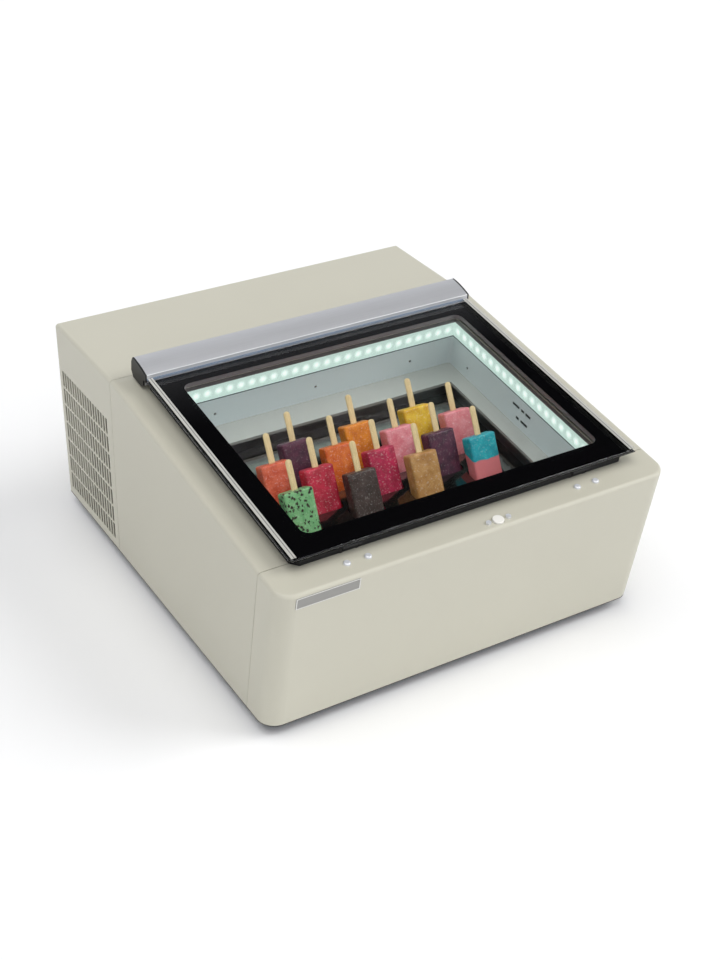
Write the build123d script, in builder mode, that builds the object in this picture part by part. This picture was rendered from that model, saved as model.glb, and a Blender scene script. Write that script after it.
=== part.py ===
from build123d import *
import math
import os

os.makedirs("parts", exist_ok=True)

# ---------------------------------------------------------------- driving dimensions (mm)
WIDTH = 600.0             # over the side panels
DEPTH = 694.0             # from the bend above the front panel to the back edge
TOP_Z = 312.0             # flat top
FRONT_Z = 250.5           # bend between the front panel and the sloping deck
BASE_Z = 18.0             # lower edge of the panels
PLINTH_Z = 10.0           # underside of the pan, on the rubber feet
DECK_RUN = 483.3          # horizontal length of the sloping deck
FRONT_LEAN = 39.7         # how far the front panel's foot stands back
CORNER_R = 25.0           # upright front corners
FOLD_R = 5.0              # folds round the top
BEND_R = 12.0             # bend between the deck and the flat top
SHEET = 1.5               # painted steel sheet
SEAM = 0.4                # half of the gap between two panels
FIT = 0.2                 # gap between pieces that are pushed together

HALF = WIDTH / 2
FRONT_Y = -DEPTH / 2
REAR_Y = DEPTH / 2
BEND_Y = FRONT_Y + DECK_RUN
TILT = math.atan2(TOP_Z - FRONT_Z, DECK_RUN)
LEAN = FRONT_LEAN / (FRONT_Z - BASE_Z)

# The deck's own frame: x across, s up the slope from the front bend, n out of the deck.
S_DIR = Vector(0, math.cos(TILT), math.sin(TILT))
N_DIR = Vector(0, -math.sin(TILT), math.cos(TILT))
DECK = Plane(origin=(0, FRONT_Y, FRONT_Z), x_dir=(1, 0, 0), z_dir=N_DIR)
SECTION = Plane(origin=(0, FRONT_Y, FRONT_Z), x_dir=S_DIR, z_dir=(1, 0, 0))
FRONT_FACE = Plane(origin=(0, FRONT_Y, FRONT_Z), x_dir=(1, 0, 0), z_dir=(0, -1, -LEAN))

# The well in the deck, in the deck's frame.
WELL_X = 242.0
WELL_NEAR = 64.0
WELL_FAR = 439.0
CHANNEL_TOP = -2.0        # a dark channel covers the top of the light strips
LENS_TOP = -8.5
LENS_FOOT = -32.0
LEDGE_N = -80.0
MOUTH_X = 213.0
MOUTH_NEAR = 111.0
MOUTH_FAR = 392.0
RACK_N = -101.7
TUB_FLOOR = -138.7

# The lid, in the deck's frame.
LID_X = 267.5
LID_NEAR = 36.2
GLASS_FAR = 448.0
GLASS_TOP = 23.2
GLASS = 5.0
SKIRT_X = 258.0
SKIRT_NEAR = 45.6
SKIRT_FAR = 456.0
FRAME_N = 5.0
FRAME_TOP = 17.8
WINDOW = (-225.5, 234.5, 76.3, 424.1)

# The lid's hinges: two, each on a pin along X.
HINGE_S = 42.0
HINGE_N = 13.0
HINGE_X = 177.5
PIN_R = 2.0
PIN_BORE = 2.05
KNUCKLE_R = 3.2
LUG_OFFSET = 11.5         # each base has two lugs, this far from its middle
LUG_W = 4.0
LUG_NEAR = 46.2           # the lugs rise behind the lid's front face and reach forward to the pin
LUG_FAR = 50.2
LUG_GAP = 0.6
DECK_SCREW_S = 25.0
DECK_SCREW_OFFSET = 15.1

# The push button on the deck.
BUTTON_X = 26.0
BUTTON_S = 13.5
BUTTON_R = 8.0
BUTTON_SCREWS = [(11.0, BUTTON_S), (42.0, BUTTON_S)]

# Ice pops: four rows that lean back in the rack, four and three by turns.
POP_H = 92.0
POP_W = 46.0
POP_T = 23.0
POP_LEAN = math.radians(34.25)
POP_EDGE_N = -49.6
POP_FIRST_S = 227.6
POP_PITCH_S = 32.2
POP_PITCH_X = 100.0
STICK_W = 9.0
STICK_T = 2.5
STICK_OUT = 42.0
STICK_IN = 30.0
POP_ROWS = [(0, -145.5, 4), (1, -95.5, 3), (2, -145.5, 4), (3, -95.5, 3)]

# Machine room behind the well.
ROOM_Y = 253.0
REAR_PANEL_Y = REAR_Y - 5.5
PAN_FLOOR = PLINTH_Z + SHEET


def level(n):
    """Plane parallel to the deck, n above it."""
    return DECK.offset(n)


def panel(left, right, near, far, radius=0.0, mode=Mode.ADD):
    """Rectangle in a sketch, from left to right and from near to far."""
    with Locations(((left + right) / 2, (near + far) / 2)):
        if radius > 0:
            RectangleRounded(right - left, far - near, radius, mode=mode)
        else:
            Rectangle(right - left, far - near, mode=mode)


def lug_notch(x, mode=Mode.ADD):
    """Rectangle in a sketch that lets a hinge lug pass, open a little on every side."""
    half = LUG_W / 2 + LUG_GAP
    panel(x - half, x + half, LUG_NEAR - LUG_GAP - 0.3, LUG_FAR + LUG_GAP, mode=mode)


def notch_for_lugs(low, high):
    """Cuts the four lug notches through the active part, between two levels."""
    with BuildSketch(level(low)) as notches:
        for side in (-1, 1):
            for offset_x in (-LUG_OFFSET, LUG_OFFSET):
                lug_notch(side * HINGE_X + offset_x)
    extrude(notches.sketch, amount=high - low, mode=Mode.SUBTRACT)


def cabinet_form(inset, rear_y, floor_z):
    """The cabinet's whole outer form with every face moved in by inset."""
    front_foot_y = FRONT_Y + (FRONT_Z - floor_z) * LEAN
    with BuildPart() as form:
        with BuildSketch(Plane.YZ) as side:
            with BuildLine():
                Polyline((front_foot_y, floor_z), (FRONT_Y, FRONT_Z), (BEND_Y, TOP_Z),
                         (rear_y + inset, TOP_Z), (rear_y + inset, floor_z), close=True)
            make_face()
            if inset > 0:
                offset(amount=-inset, kind=Kind.INTERSECTION)
            bend = side.vertices().sort_by_distance((BEND_Y, TOP_Z))[0]
            fillet(bend, radius=BEND_R - inset)
        extrude(amount=HALF - inset, both=True)
        with BuildSketch(Plane.XY.offset(floor_z)):
            near = front_foot_y + inset * math.sqrt(1 + LEAN * LEAN)
            panel(inset - HALF, HALF - inset, near, near + 2 * DEPTH, CORNER_R - inset)
        extrude(amount=2 * TOP_Z, dir=(0, -LEAN, 1), mode=Mode.INTERSECT)
        top_edges = form.edges().filter_by(lambda edge: on_top_edge(edge, inset, rear_y))
        fillet(top_edges, radius=FOLD_R - inset / 2)
    return form.part


def on_top_edge(edge, inset, rear_y):
    """True for the edges where the deck and the top meet the front and the sides."""
    middle = edge.position_at(0.5)
    if middle.Y < BEND_Y:
        top = FRONT_Z + (middle.Y - FRONT_Y) * math.tan(TILT)
    else:
        top = TOP_Z
    near_top = abs(middle.Z - top) < 3 * inset + 1.5
    at_rear = middle.Y > rear_y - 1
    across = abs(middle.X) < 1 and middle.Y > FRONT_Y + 20
    return near_top and not at_rear and not across


def seam_y(z, top_point, foot_point):
    """Y of a seam at height z, along the straight line between two (y, z) points."""
    share = (z - top_point[1]) / (foot_point[1] - top_point[1])
    return top_point[0] + share * (foot_point[0] - top_point[0])


SEAM_FRONT = ((-291.5, 257.6), (-252.3, BASE_Z))
SEAM_REAR = ((147.0, TOP_Z), (156.0, BASE_Z))
PANEL_FOOT = BASE_Z + SHEET + FIT
ABOVE = TOP_Z + 20.0


def keep_between(near_seam, far_seam):
    """Keeps the stretch of the panels between two seams, in the active part."""
    near_top, near_foot = -DEPTH, -DEPTH
    far_top, far_foot = REAR_Y, REAR_Y
    if near_seam:
        near_top = seam_y(ABOVE, *near_seam) + SEAM
        near_foot = seam_y(PANEL_FOOT, *near_seam) + SEAM
    if far_seam:
        far_top = seam_y(ABOVE, *far_seam) - SEAM
        far_foot = seam_y(PANEL_FOOT, *far_seam) - SEAM
    with BuildSketch(Plane.YZ) as stretch:
        with BuildLine():
            Polyline((near_foot, PANEL_FOOT), (near_top, ABOVE), (far_top, ABOVE),
                     (far_foot, PANEL_FOOT), close=True)
        make_face()
    extrude(stretch.sketch, amount=HALF + 1, both=True, mode=Mode.INTERSECT)


OUTER_FORM = cabinet_form(0.0, REAR_Y, BASE_Z)
INNER_FORM = cabinet_form(SHEET, REAR_Y + 20, BASE_Z - 10)

# ---------------------------------------------------------------- base and feet
# A stamped steel pan: a rim under the panels and a floor that carries the machinery.
PLINTH_INSET = 22.0
PLINTH_NEAR = FRONT_Y + FRONT_LEAN + PLINTH_INSET
PLINTH_FAR = REAR_Y - PLINTH_INSET
with BuildPart() as base_pan:
    add(OUTER_FORM)
    with BuildSketch(Plane.XY.offset(BASE_Z)):
        panel(-HALF, HALF, FRONT_Y, REAR_Y)
    extrude(amount=SHEET, mode=Mode.INTERSECT)
    with BuildSketch(Plane.XY.offset(PLINTH_Z)):
        panel(PLINTH_INSET - HALF, HALF - PLINTH_INSET, PLINTH_NEAR, PLINTH_FAR, 12)
    extrude(amount=BASE_Z - PLINTH_Z)
    with BuildSketch(Plane.XY.offset(PAN_FLOOR)):
        wall = PLINTH_INSET + SHEET
        panel(wall - HALF, HALF - wall, PLINTH_NEAR + SHEET, PLINTH_FAR - SHEET, 10.5)
    extrude(amount=BASE_Z, mode=Mode.SUBTRACT)
base_pan.part.label = "base_pan"
export_step(base_pan.part, "parts/base_pan.step")

FOOT_SPACING_X = 500.0
FOOT_SPACING_Y = 560.0
FOOT_MIDDLE_Y = (PLINTH_NEAR + PLINTH_FAR) / 2
with BuildPart() as feet:
    with BuildSketch(Plane.XY):
        with Locations((0, FOOT_MIDDLE_Y)):
            with GridLocations(FOOT_SPACING_X, FOOT_SPACING_Y, 2, 2):
                Circle(15)
    extrude(amount=PLINTH_Z, taper=-8)
feet.part.label = "feet"
export_step(feet.part, "parts/feet.step")

# ---------------------------------------------------------------- cabinet panels
# The front panel folds back over the deck and carries the hinges and the button.
with BuildPart() as front_panel:
    add(OUTER_FORM)
    add(INNER_FORM, mode=Mode.SUBTRACT)
    keep_between(None, SEAM_FRONT)
    with BuildSketch(level(-4)):
        for side in (-1, 1):
            for offset_x in (-DECK_SCREW_OFFSET, DECK_SCREW_OFFSET):
                with Locations((side * HINGE_X + offset_x, DECK_SCREW_S)):
                    Circle(2.7)
            for offset_x in (-LUG_OFFSET, LUG_OFFSET):
                lug_notch(side * HINGE_X + offset_x)
        with Locations((BUTTON_X, BUTTON_S)):
            Circle(BUTTON_R + 0.3)
        with Locations(BUTTON_SCREWS):
            Circle(2.2)
    extrude(amount=6, mode=Mode.SUBTRACT)
front_panel.part.label = "front_panel"
export_step(front_panel.part, "parts/front_panel.step")

# One folded sheet: both sides and the sloping deck, with the opening of the well.
with BuildPart() as cabinet_wrap:
    add(OUTER_FORM)
    add(INNER_FORM, mode=Mode.SUBTRACT)
    keep_between(SEAM_FRONT, SEAM_REAR)
    with BuildSketch(level(-10)):
        panel(-WELL_X, WELL_X, WELL_NEAR, WELL_FAR, 6)
    extrude(amount=20, mode=Mode.SUBTRACT)
cabinet_wrap.part.label = "cabinet_wrap"
export_step(cabinet_wrap.part, "parts/cabinet_wrap.step")

# The cover of the machine room, with rows of upright air slots in both sides.
VENT_COLUMNS = 18
VENT_ROWS = 7
VENT_PITCH_Y = 9.5
VENT_PITCH_Z = 30.0
VENT_W = 6.2
VENT_H = 26.6
VENT_MIDDLE_Z = 136.4
with BuildPart() as rear_cover:
    add(OUTER_FORM)
    add(INNER_FORM, mode=Mode.SUBTRACT)
    keep_between(SEAM_REAR, None)
    with BuildSketch(Plane.YZ):
        with Locations((ROOM_Y, VENT_MIDDLE_Z)):
            with GridLocations(VENT_PITCH_Y, VENT_PITCH_Z, VENT_COLUMNS, VENT_ROWS):
                Rectangle(VENT_W, VENT_H)
    extrude(amount=HALF + 5, both=True, mode=Mode.SUBTRACT)
rear_cover.part.label = "rear_cover"
export_step(rear_cover.part, "parts/rear_cover.step")

CONTROL_X = -170.0
CONTROL_Z = 232.0
SWITCH_X = 170.0
SWITCH_Z = 110.0
INLET_X = 170.0
INLET_Z = 62.0
LOUVRE_MIDDLE_Z = 120.0
with BuildPart() as rear_panel:
    add(cabinet_form(SHEET + FIT, REAR_Y + 20, BASE_Z - 10))
    with BuildSketch(Plane.XZ.offset(-REAR_PANEL_Y)):
        panel(-HALF, HALF, PANEL_FOOT, TOP_Z)
    extrude(amount=-SHEET, mode=Mode.INTERSECT)
    with BuildSketch(Plane.XZ.offset(-REAR_PANEL_Y)):
        with Locations((-30, LOUVRE_MIDDLE_Z)):
            with GridLocations(12, 70, 20, 2):
                SlotOverall(56, 5, rotation=90)
        with Locations((CONTROL_X, CONTROL_Z)):
            Rectangle(71.6, 29.6)
        with Locations((SWITCH_X, SWITCH_Z)):
            Rectangle(28.2, 13.2)
        with Locations((INLET_X, INLET_Z)):
            Rectangle(28.2, 20.6)
    extrude(amount=-SHEET, both=True, mode=Mode.SUBTRACT)
rear_panel.part.label = "rear_panel"
export_step(rear_panel.part, "parts/rear_panel.step")

# Blank plate near the left end of the front panel.
with BuildPart() as nameplate:
    with BuildSketch(FRONT_FACE):
        panel(-277, -186, -23.8, -5.3, 2)
    extrude(amount=0.6)
    plate_front = nameplate.faces().sort_by(Axis((0, 0, 0), FRONT_FACE.z_dir))[-1]
    fillet(plate_front.edges(), radius=0.25)
nameplate.part.label = "nameplate"
export_step(nameplate.part, "parts/nameplate.step")

# ---------------------------------------------------------------- deck fittings
with BuildPart() as deck_screws:
    with BuildSketch(level(0)):
        for side in (-1, 1):
            for offset_x in (-DECK_SCREW_OFFSET, DECK_SCREW_OFFSET):
                with Locations((side * HINGE_X + offset_x, DECK_SCREW_S)):
                    Circle(5)
    extrude(amount=3)
    fillet(deck_screws.edges().group_by(lambda edge: round(DECK.to_local_coords(edge.center()).Z, 2))[-1],
           radius=2.4)
    with BuildSketch(level(-9)):
        for side in (-1, 1):
            for offset_x in (-DECK_SCREW_OFFSET, DECK_SCREW_OFFSET):
                with Locations((side * HINGE_X + offset_x, DECK_SCREW_S)):
                    Circle(2.5)
    extrude(amount=9)
deck_screws.part.label = "deck_screws"
export_step(deck_screws.part, "parts/deck_screws.step")

with BuildPart() as button_screws:
    with BuildSketch(level(0)):
        with Locations(BUTTON_SCREWS):
            RegularPolygon(radius=4, side_count=6)
    extrude(amount=2.6)
    with BuildSketch(level(-9)):
        with Locations(BUTTON_SCREWS):
            Circle(2)
    extrude(amount=9)
button_screws.part.label = "button_screws"
export_step(button_screws.part, "parts/button_screws.step")

# Push button: a disc on a stem that slides in its switch body.
BUTTON_PROUD = 2.8
with BuildPart() as light_button:
    with BuildSketch(level(-3)):
        with Locations((BUTTON_X, BUTTON_S)):
            Circle(BUTTON_R)
    extrude(amount=3 + BUTTON_PROUD)
    top = light_button.edges().group_by(lambda edge: round(DECK.to_local_coords(edge.center()).Z, 2))[-1]
    fillet(top, radius=1.2)
    with BuildSketch(level(-14)):
        with Locations((BUTTON_X, BUTTON_S)):
            Circle(3)
    extrude(amount=11)
light_button.part.label = "light_button"
export_step(light_button.part, "parts/light_button.step")

with BuildPart() as light_switch:
    with BuildSketch(level(-16)):
        with Locations((BUTTON_X, BUTTON_S)):
            Circle(9.2)
            Circle(3.3, mode=Mode.SUBTRACT)
    extrude(amount=5)
    with BuildSketch(level(-11)):
        with Locations((BUTTON_X, BUTTON_S)):
            Circle(9.2)
            Circle(BUTTON_R + 0.3, mode=Mode.SUBTRACT)
    extrude(amount=11 - SHEET - 0.4)
light_switch.part.label = "light_switch"
export_step(light_switch.part, "parts/light_switch.step")

# ---------------------------------------------------------------- hinges
# Each base bolts under the deck and stands up through it on two lugs.
with BuildPart() as hinge_bases:
    with BuildSketch(level(-SHEET - 2)):
        for side in (-1, 1):
            panel(side * HINGE_X - 24, side * HINGE_X + 24, 16, LUG_FAR + 2, 3)
            for offset_x in (-DECK_SCREW_OFFSET, DECK_SCREW_OFFSET):
                with Locations((side * HINGE_X + offset_x, DECK_SCREW_S)):
                    Circle(2.6, mode=Mode.SUBTRACT)
    extrude(amount=2)
    for side in (-1, 1):
        for offset_x in (-LUG_OFFSET, LUG_OFFSET):
            with BuildSketch(SECTION.offset(side * HINGE_X + offset_x)):
                with BuildLine():
                    Polyline((LUG_NEAR, -SHEET), (LUG_FAR, -SHEET), (LUG_FAR, 11.0),
                             (HINGE_S, HINGE_N + KNUCKLE_R), (HINGE_S, HINGE_N - KNUCKLE_R),
                             (LUG_NEAR, 8.0), close=True)
                make_face()
                with Locations((HINGE_S, HINGE_N)):
                    Circle(KNUCKLE_R)
                    Circle(PIN_BORE, mode=Mode.SUBTRACT)
            extrude(amount=LUG_W / 2, both=True)
hinge_bases.part.label = "hinge_bases"
export_step(hinge_bases.part, "parts/hinge_bases.step")

with BuildPart() as hinge_pins:
    for side in (-1, 1):
        with BuildSketch(SECTION.offset(side * HINGE_X)):
            with Locations((HINGE_S, HINGE_N)):
                Circle(PIN_R)
        extrude(amount=LUG_OFFSET + LUG_W / 2 + 1.2, both=True)
hinge_pins.part.label = "hinge_pins"
export_step(hinge_pins.part, "parts/hinge_pins.step")

# The lid's half of each hinge is one wide knuckle on the frame's front face.
with BuildPart() as hinge_blocks:
    for side in (-1, 1):
        with BuildSketch(SECTION.offset(side * HINGE_X)):
            panel(HINGE_S, SKIRT_NEAR, HINGE_N - 2.6, HINGE_N + 2.6)
            with Locations((HINGE_S, HINGE_N)):
                Circle(KNUCKLE_R)
                Circle(PIN_BORE, mode=Mode.SUBTRACT)
        extrude(amount=LUG_OFFSET - LUG_W / 2 - 0.4, both=True)
hinge_blocks.part.label = "hinge_blocks"
export_step(hinge_blocks.part, "parts/hinge_blocks.step")

# ---------------------------------------------------------------- lid
# Double glazing: a wide outer pane, a dark border, a spacer and an inner pane.
with BuildPart() as outer_glass:
    with BuildSketch(level(GLASS_TOP - GLASS)):
        panel(-LID_X, LID_X, LID_NEAR, GLASS_FAR, 5)
    extrude(amount=GLASS)
    near_edges = outer_glass.edges().filter_by(Axis.X).sort_by(Axis.Y)[:2]
    fillet(near_edges, radius=2.2)
outer_glass.part.label = "outer_glass"
export_step(outer_glass.part, "parts/outer_glass.step")

with BuildPart() as glass_border:
    with BuildSketch(level(FRAME_TOP + 0.05)):
        panel(1 - LID_X, LID_X - 1, LID_NEAR + 3, GLASS_FAR - 0.5)
        panel(*WINDOW, 13, Mode.SUBTRACT)
    extrude(amount=0.3)
glass_border.part.label = "glass_border"
export_step(glass_border.part, "parts/glass_border.step")

# Frame: an aluminium-cored moulding with a lip under the inner pane.
FRAME_WALL = 5.5
LIP_TOP = FRAME_N + 1.6
LIP_IN_X = 246.0
LIP_IN_NEAR = 57.5
LIP_IN_FAR = 440.0
with BuildPart() as lid_frame:
    with BuildSketch(level(FRAME_N)) as plan:
        panel(-SKIRT_X, SKIRT_X, SKIRT_NEAR, SKIRT_FAR)
        chamfer(plan.vertices().group_by(Axis.Y)[0], length=10)
        panel(-LIP_IN_X, LIP_IN_X, LIP_IN_NEAR, LIP_IN_FAR, mode=Mode.SUBTRACT)
    extrude(amount=FRAME_TOP - FRAME_N)
    with BuildSketch(level(LIP_TOP)):
        panel(FRAME_WALL - SKIRT_X, SKIRT_X - FRAME_WALL, SKIRT_NEAR + 6.1, SKIRT_FAR - 9.7, 6)
    extrude(amount=FRAME_TOP, mode=Mode.SUBTRACT)
    notch_for_lugs(FRAME_N, HINGE_N + 3)
lid_frame.part.label = "lid_frame"
export_step(lid_frame.part, "parts/lid_frame.step")

PANE_X = SKIRT_X - FRAME_WALL - FIT
PANE_NEAR = SKIRT_NEAR + 6.1 + FIT
PANE_FAR = SKIRT_FAR - 9.7 - FIT
INNER_GLASS = 4.0
with BuildPart() as inner_glass:
    with BuildSketch(level(LIP_TOP)):
        panel(-PANE_X, PANE_X, PANE_NEAR, PANE_FAR, 6)
    extrude(amount=INNER_GLASS)
inner_glass.part.label = "inner_glass"
export_step(inner_glass.part, "parts/inner_glass.step")

REVEAL = 0.6              # how far the spacer stands back behind the edge of the border
with BuildPart() as spacer:
    with BuildSketch(level(LIP_TOP + INNER_GLASS)):
        panel(-PANE_X, PANE_X, PANE_NEAR, PANE_FAR, 6)
        left, right, near, far = WINDOW
        panel(left - REVEAL, right + REVEAL, near - REVEAL, far + REVEAL, 13, Mode.SUBTRACT)
    extrude(amount=FRAME_TOP - LIP_TOP - INNER_GLASS)
spacer.part.label = "spacer"
export_step(spacer.part, "parts/spacer.step")

# Rubber bellows seal between the frame and the deck, with fine ribs on its outer face.
with BuildPart() as gasket:
    with BuildSketch(level(0.4)) as plan:
        panel(-SKIRT_X, SKIRT_X, SKIRT_NEAR, SKIRT_FAR)
        chamfer(plan.vertices().group_by(Axis.Y)[0], length=10)
        panel(-LIP_IN_X - 0.5, LIP_IN_X + 0.5, LIP_IN_NEAR, LIP_IN_FAR, mode=Mode.SUBTRACT)
    extrude(amount=FRAME_N - 0.4)
    notch_for_lugs(0.0, FRAME_N)
gasket.part.label = "gasket"
export_step(gasket.part, "parts/gasket.step")

RAIL_OUT = LID_X - 3.0
with BuildPart() as side_rails:
    with BuildSketch(level(GLASS_TOP)):
        for side in (-1, 1):
            middle = side * (RAIL_OUT - 3.5)
            panel(middle - 3.5, middle + 3.5, LID_NEAR + 2.6, GLASS_FAR)
    extrude(amount=0.8)
side_rails.part.label = "side_rails"
export_step(side_rails.part, "parts/side_rails.step")


def handle_outline():
    """Cross-section of the handle: a wide grip over the lid's rear edge."""
    with BuildLine() as outline:
        Polyline((449.2, 29.2), (448.3, 18.2), (456.3, 18.2), (456.3, 8.0), (462.9, 3.1),
                 (488.6, 2.4), (495.5, 11.0), (495.2, 25.3), (491.8, 33.2))
        ThreePointArc((491.8, 33.2), (471.0, 32.9), (449.2, 29.2))
    make_face(outline.edges())


CAP = 2.6
HANDLE_X = 265.4
with BuildPart() as handle:
    with BuildSketch(SECTION):
        handle_outline()
    extrude(amount=HANDLE_X, both=True)
handle.part.label = "handle"
export_step(handle.part, "parts/handle.step")

with BuildPart() as handle_caps:
    for start in (HANDLE_X, -HANDLE_X - CAP):
        with BuildSketch(SECTION.offset(start)):
            handle_outline()
        extrude(amount=CAP)
handle_caps.part.label = "handle_caps"
export_step(handle_caps.part, "parts/handle_caps.step")

# ---------------------------------------------------------------- lining of the well
# Light strips round the rear and the sides: frosted lens bars with LED boards behind, and a
# dark channel along their top.
LENS_T = 3.0
with BuildPart() as led_lenses:
    with BuildSketch(level(LENS_FOOT)):
        panel(-WELL_X, WELL_X, WELL_FAR, WELL_FAR + LENS_T)
        for side in (-1, 1):
            middle = side * (WELL_X + LENS_T / 2)
            panel(middle - LENS_T / 2, middle + LENS_T / 2, WELL_NEAR, WELL_FAR)
    extrude(amount=LENS_TOP - LENS_FOOT)
led_lenses.part.label = "led_lenses"
export_step(led_lenses.part, "parts/led_lenses.step")

with BuildPart() as light_channel:
    with BuildSketch(level(LENS_TOP + 0.1)):
        panel(-WELL_X, WELL_X, WELL_FAR, WELL_FAR + LENS_T)
        for side in (-1, 1):
            middle = side * (WELL_X + LENS_T / 2)
            panel(middle - LENS_T / 2, middle + LENS_T / 2, WELL_NEAR, WELL_FAR)
    extrude(amount=CHANNEL_TOP - LENS_TOP - 0.1)
light_channel.part.label = "light_channel"
export_step(light_channel.part, "parts/light_channel.step")

LED_PITCH = 17.7
BOARD_GAP = 5.0
BOARD_T = 1.6
with BuildPart() as led_boards:
    with BuildSketch(level(LENS_FOOT)):
        back = WELL_FAR + BOARD_GAP
        panel(-WELL_X + 4, WELL_X - 4, back, back + BOARD_T)
        for side in (-1, 1):
            middle = side * (WELL_X + BOARD_GAP + BOARD_T / 2)
            panel(middle - BOARD_T / 2, middle + BOARD_T / 2, WELL_NEAR + 2, WELL_FAR - 2)
    extrude(amount=LENS_TOP - LENS_FOOT)
    with BuildSketch(level((LENS_TOP + LENS_FOOT) / 2 - 2)):
        with Locations((0, back - 0.7)):
            with GridLocations(LED_PITCH, 1, 27, 1):
                Rectangle(4, 1.4)
        for side in (-1, 1):
            with Locations((side * (WELL_X + BOARD_GAP - 0.7), (WELL_NEAR + WELL_FAR) / 2)):
                with GridLocations(1, LED_PITCH, 1, 21):
                    Rectangle(1.4, 4)
    extrude(amount=4)
led_boards.part.label = "led_boards"
export_step(led_boards.part, "parts/led_boards.step")

# Painted liner: four walls below the light strips, and the whole height at the front.
LINER_OUT = WELL_X + LENS_T
LINER_IN = 240.0
LINER_NEAR = WELL_NEAR + 2
LINER_FAR = WELL_FAR - 2
with BuildPart() as well_liner:
    with BuildSketch(level(LEDGE_N)):
        panel(-LINER_OUT, LINER_OUT, WELL_NEAR - LENS_T, WELL_FAR + LENS_T)
        panel(-LINER_IN, LINER_IN, LINER_NEAR, LINER_FAR, 5, Mode.SUBTRACT)
    extrude(amount=LENS_FOOT - 1 - LEDGE_N)
    with BuildSketch(level(LENS_FOOT - 1)):
        panel(-WELL_X, WELL_X, WELL_NEAR - LENS_T, WELL_NEAR - FIT)
    extrude(amount=CHANNEL_TOP - LENS_FOOT + 1)
well_liner.part.label = "well_liner"
export_step(well_liner.part, "parts/well_liner.step")

# Polished steel shelf round the mouth of the tub, folded down at its inner edge.
FLANGE_DEEP = 5.0
with BuildPart() as steel_ledge:
    with BuildSketch(level(LEDGE_N - SHEET)):
        panel(-LINER_OUT, LINER_OUT, WELL_NEAR - LENS_T, WELL_FAR + LENS_T)
        panel(-MOUTH_X, MOUTH_X, MOUTH_NEAR, MOUTH_FAR, 4, Mode.SUBTRACT)
    extrude(amount=SHEET)
    with BuildSketch(level(LEDGE_N - FLANGE_DEEP)):
        panel(-MOUTH_X - SHEET, MOUTH_X + SHEET, MOUTH_NEAR - SHEET, MOUTH_FAR + SHEET, 5)
        panel(-MOUTH_X, MOUTH_X, MOUTH_NEAR, MOUTH_FAR, 4, Mode.SUBTRACT)
    extrude(amount=FLANGE_DEEP)
steel_ledge.part.label = "steel_ledge"
export_step(steel_ledge.part, "parts/steel_ledge.step")

TUB_X = MOUTH_X + SHEET + FIT
TUB_NEAR = MOUTH_NEAR - SHEET - FIT
TUB_FAR = MOUTH_FAR + SHEET + FIT
TUB_R = 6.0
with BuildPart() as display_tub:
    with BuildSketch(level(TUB_FLOOR - SHEET)):
        panel(-TUB_X - SHEET, TUB_X + SHEET, TUB_NEAR - SHEET, TUB_FAR + SHEET, TUB_R + SHEET)
    extrude(amount=LEDGE_N - TUB_FLOOR)
    with BuildSketch(level(TUB_FLOOR)):
        panel(-TUB_X, TUB_X, TUB_NEAR, TUB_FAR, TUB_R)
    extrude(amount=LEDGE_N - TUB_FLOOR, mode=Mode.SUBTRACT)
display_tub.part.label = "display_tub"
export_step(display_tub.part, "parts/display_tub.step")

with BuildPart() as rack_rails:
    for side in (-1, 1):
        with BuildSketch(level(RACK_N - 2 * SHEET)):
            panel(side * (TUB_X - FIT - 6) - 6, side * (TUB_X - FIT - 6) + 6, 120, 384)
        extrude(amount=SHEET)
        with BuildSketch(level(RACK_N - 14)):
            wall_x = side * (TUB_X - FIT - SHEET / 2)
            panel(wall_x - SHEET / 2, wall_x + SHEET / 2, 120, 384)
        extrude(amount=14 - 2 * SHEET)
rack_rails.part.label = "rack_rails"
export_step(rack_rails.part, "parts/rack_rails.step")

# ---------------------------------------------------------------- rack and ice pops
POP_UP = S_DIR * math.sin(POP_LEAN) + N_DIR * math.cos(POP_LEAN)
POP_SHIFT = POP_T / 2 * math.cos(POP_LEAN)
POP_DROP = POP_T / 2 * math.sin(POP_LEAN)
SLOT_W = 52.0
SLOT_L = 30.0


def pop_places():
    """(x, s) of every pop's top front edge, row by row from the front."""
    places = []
    for row, first_x, count in POP_ROWS:
        for column in range(count):
            places.append((first_x + column * POP_PITCH_X, POP_FIRST_S + row * POP_PITCH_S))
    return places


def pop_plane(x, s):
    """Plane across a pop at the middle of its top: its normal runs up the stick."""
    middle = DECK.from_local_coords((x, s + POP_SHIFT, POP_EDGE_N - POP_DROP))
    return Plane(origin=middle, x_dir=(1, 0, 0), z_dir=POP_UP)


SLOT_BACK = (POP_EDGE_N - POP_DROP - RACK_N + SHEET / 2) * math.tan(POP_LEAN)
with BuildPart() as rack_plate:
    with BuildSketch(level(RACK_N - SHEET)):
        panel(FIT - TUB_X, TUB_X - FIT, TUB_NEAR + FIT, TUB_FAR - FIT, TUB_R)
        for x, s in pop_places():
            with Locations((x, s + POP_SHIFT - SLOT_BACK)):
                RectangleRounded(SLOT_W, SLOT_L, 8, mode=Mode.SUBTRACT)
    extrude(amount=SHEET)
rack_plate.part.label = "rack_plate"
export_step(rack_plate.part, "parts/rack_plate.step")

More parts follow.
